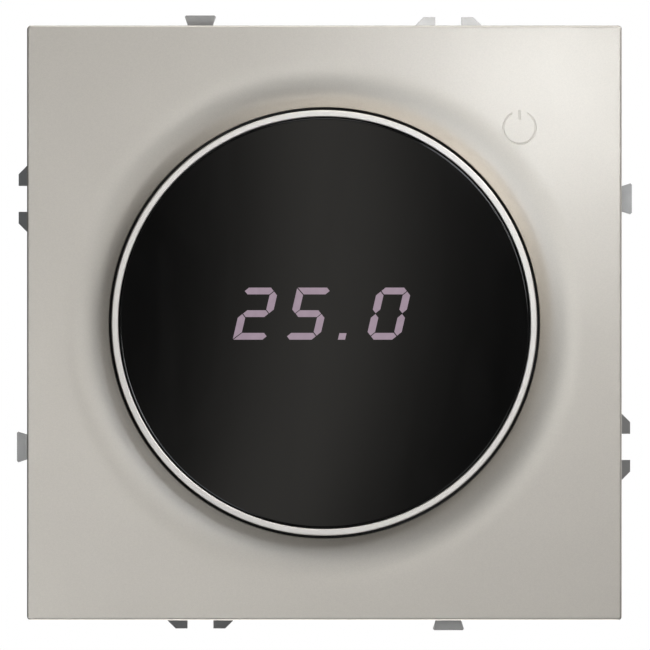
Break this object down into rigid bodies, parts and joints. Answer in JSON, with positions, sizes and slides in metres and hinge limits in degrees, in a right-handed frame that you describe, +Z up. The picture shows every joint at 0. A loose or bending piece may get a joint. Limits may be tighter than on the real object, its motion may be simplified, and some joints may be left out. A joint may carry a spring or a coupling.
{
  "type": "wall thermostat",
  "caption": "Square flush wall thermostat: metallic front plate, bright setting ring turning round a black glass disc with a lit temperature, touch key and wall box insert behind.",
  "frame": {"origin": "on the setting ring's axis, in the wall plane that the support frame's rear face lies on", "axes": "+X to the right and +Z up as seen from the room, -Y out of the wall towards the room, +Y into the wall box"},
  "size_m": [0.0664, 0.0352, 0.0664],
  "materials": {
    "plate_lacquer": "warm grey metallic satin lacquer",
    "trim_metal": "satin, bright turned edge",
    "lug_grey": "moulded, fine matt texture",
    "black_plastic": "moulded, matt",
    "white_plastic": "moulded, matt",
    "display_glass": "polished, black printed back",
    "segment_light": "lit diffuser, soft glow",
    "adhesive": "foam tape",
    "board_green": "solder mask over laminate",
    "chip_black": "moulded epoxy",
    "led_body": "clear epoxy over phosphor",
    "spring_steel": "bright spring wire and strip",
    "zinc_steel": "zinc plated sheet",
    "screw_steel": "zinc plated, turned",
    "brass": "tin plated ends",
    "housing_grey": "moulded, fine matt texture",
    "terminal_dark": "moulded, matt",
    "relay_blue": "moulded, semi matt",
    "core_iron": "laminated, varnished",
    "coil_tape": "polyester tape over the winding",
    "capacitor_yellow": "cast box",
    "capacitor_sleeve": "shrink sleeve",
    "fuse_brown": "moulded",
    "varistor_blue": "dipped epoxy"
  },
  "bodies": {
    "base": {"front_plate": "plate_lacquer", "carrier_frame": "lug_grey", "glide_ring": "white_plastic", "detent_spring": "spring_steel", "encoder_body": "chip_black", "display_glass": "display_glass", "segment_windows": "segment_light", "glass_adhesive": "adhesive", "display_housing": "black_plastic", "segment_block": "white_plastic", "segment_leds": "led_body", "display_board": "board_green", "control_board": "board_green", "controller_chip": "chip_black", "board_link_pins": "brass", "hub_screws": "screw_steel", "touch_spring": "spring_steel", "room_sensor": "chip_black", "plug_header": "terminal_dark", "plug_pins": "brass", "support_frame": "zinc_steel", "frame_screws": "screw_steel", "insert_cover": "housing_grey", "insert_housing": "housing_grey", "power_board": "board_green", "socket_header": "terminal_dark", "relay_case": "relay_blue", "relay_pins": "brass", "transformer_core": "core_iron", "transformer_coil": "coil_tape", "mains_capacitor": "capacitor_yellow", "bulk_capacitor": "capacitor_sleeve", "fuse": "fuse_brown", "varistor": "varistor_blue", "bridge_rectifier": "chip_black", "terminal_block": "terminal_dark", "contact_bars": "brass"},
    "setting_ring": {"setting_ring_trim": "trim_metal", "setting_ring_drum": "black_plastic"},
    "encoder_wheel": {"encoder_pinion": "white_plastic"},
    "clamp_screw_1": {"terminal_screw_1": "screw_steel"},
    "clamp_cage_1": {"terminal_cage_1": "zinc_steel"},
    "clamp_screw_2": {"terminal_screw_2": "screw_steel"},
    "clamp_cage_2": {"terminal_cage_2": "zinc_steel"},
    "clamp_screw_3": {"terminal_screw_3": "screw_steel"},
    "clamp_cage_3": {"terminal_cage_3": "zinc_steel"},
    "clamp_screw_4": {"terminal_screw_4": "screw_steel"},
    "clamp_cage_4": {"terminal_cage_4": "zinc_steel"},
    "clamp_screw_5": {"terminal_screw_5": "screw_steel"},
    "clamp_cage_5": {"terminal_cage_5": "zinc_steel"}
  },
  "joints": [
    {"name": "ring_turn", "type": "hinge", "parent": "base", "child": "setting_ring", "pos_m": [0, -0.009, 0], "axis": [0, 1, 0], "continuous": true, "deforming": ["detent_spring"]},
    {"name": "encoder_turn", "type": "hinge", "parent": "base", "child": "encoder_wheel", "pos_m": [0, -0.006, -0.016], "axis": [0, 1, 0], "continuous": true},
    {"name": "screw_turn_1", "type": "hinge", "parent": "base", "child": "clamp_screw_1", "pos_m": [-0.014, 0.0178, -0.0225], "axis": [0, 0, 1], "range_deg": [0, 1440]},
    {"name": "cage_slide_1", "type": "slide", "parent": "base", "child": "clamp_cage_1", "axis": [0, 0, -1], "range_m": [0, 0.002]},
    {"name": "screw_turn_2", "type": "hinge", "parent": "base", "child": "clamp_screw_2", "pos_m": [-0.007, 0.0178, -0.0225], "axis": [0, 0, 1], "range_deg": [0, 1440]},
    {"name": "cage_slide_2", "type": "slide", "parent": "base", "child": "clamp_cage_2", "axis": [0, 0, -1], "range_m": [0, 0.002]},
    {"name": "screw_turn_3", "type": "hinge", "parent": "base", "child": "clamp_screw_3", "pos_m": [0, 0.0178, -0.0225], "axis": [0, 0, 1], "range_deg": [0, 1440]},
    {"name": "cage_slide_3", "type": "slide", "parent": "base", "child": "clamp_cage_3", "axis": [0, 0, -1], "range_m": [0, 0.002]},
    {"name": "screw_turn_4", "type": "hinge", "parent": "base", "child": "clamp_screw_4", "pos_m": [0.007, 0.0178, -0.0225], "axis": [0, 0, 1], "range_deg": [0, 1440]},
    {"name": "cage_slide_4", "type": "slide", "parent": "base", "child": "clamp_cage_4", "axis": [0, 0, -1], "range_m": [0, 0.002]},
    {"name": "screw_turn_5", "type": "hinge", "parent": "base", "child": "clamp_screw_5", "pos_m": [0.014, 0.0178, -0.0225], "axis": [0, 0, 1], "range_deg": [0, 1440]},
    {"name": "cage_slide_5", "type": "slide", "parent": "base", "child": "clamp_cage_5", "axis": [0, 0, -1], "range_m": [0, 0.002]}
  ],
  "couplings": [
    {"joint": "encoder_turn", "follows": "ring_turn", "ratio": 5},
    {"joint": "screw_turn_1", "follows": "cage_slide_1", "rad_per_m": 12566},
    {"joint": "screw_turn_2", "follows": "cage_slide_2", "rad_per_m": 12566},
    {"joint": "screw_turn_3", "follows": "cage_slide_3", "rad_per_m": 12566},
    {"joint": "screw_turn_4", "follows": "cage_slide_4", "rad_per_m": 12566},
    {"joint": "screw_turn_5", "follows": "cage_slide_5", "rad_per_m": 12566}
  ]
}
